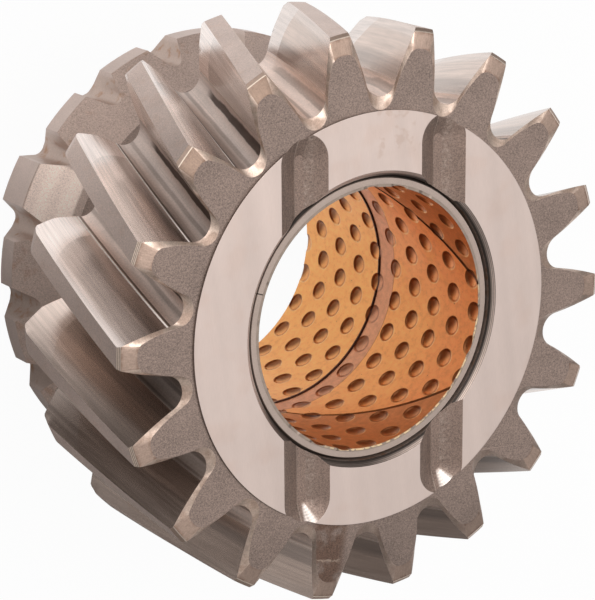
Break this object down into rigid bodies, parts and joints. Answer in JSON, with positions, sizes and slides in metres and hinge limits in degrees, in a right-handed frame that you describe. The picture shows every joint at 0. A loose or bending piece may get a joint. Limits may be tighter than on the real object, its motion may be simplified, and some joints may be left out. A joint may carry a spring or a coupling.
{
  "type": "gear wheel",
  "caption": "Helical gear wheel with a notched coupling end, two slots across the ground front boss and a dimpled bronze-lined bush in its bore.",
  "frame": {"origin": "centre of the rear face of the notched coupling end, on the bore axis", "axes": "+Z along the bore axis to the ground front boss, +Y along the two slots"},
  "size_m": [0.12, 0.12, 0.0714],
  "materials": {
    "gear_steel": "ground flanks and boss, blasted end faces",
    "bush_steel": "turned edge",
    "bronze": "sintered bronze with pressed grease dimples"
  },
  "bodies": {
    "root": {"gear_body": "gear_steel", "bush_shell": "bush_steel", "bush_lining": "bronze"}
  },
  "joints": []
}
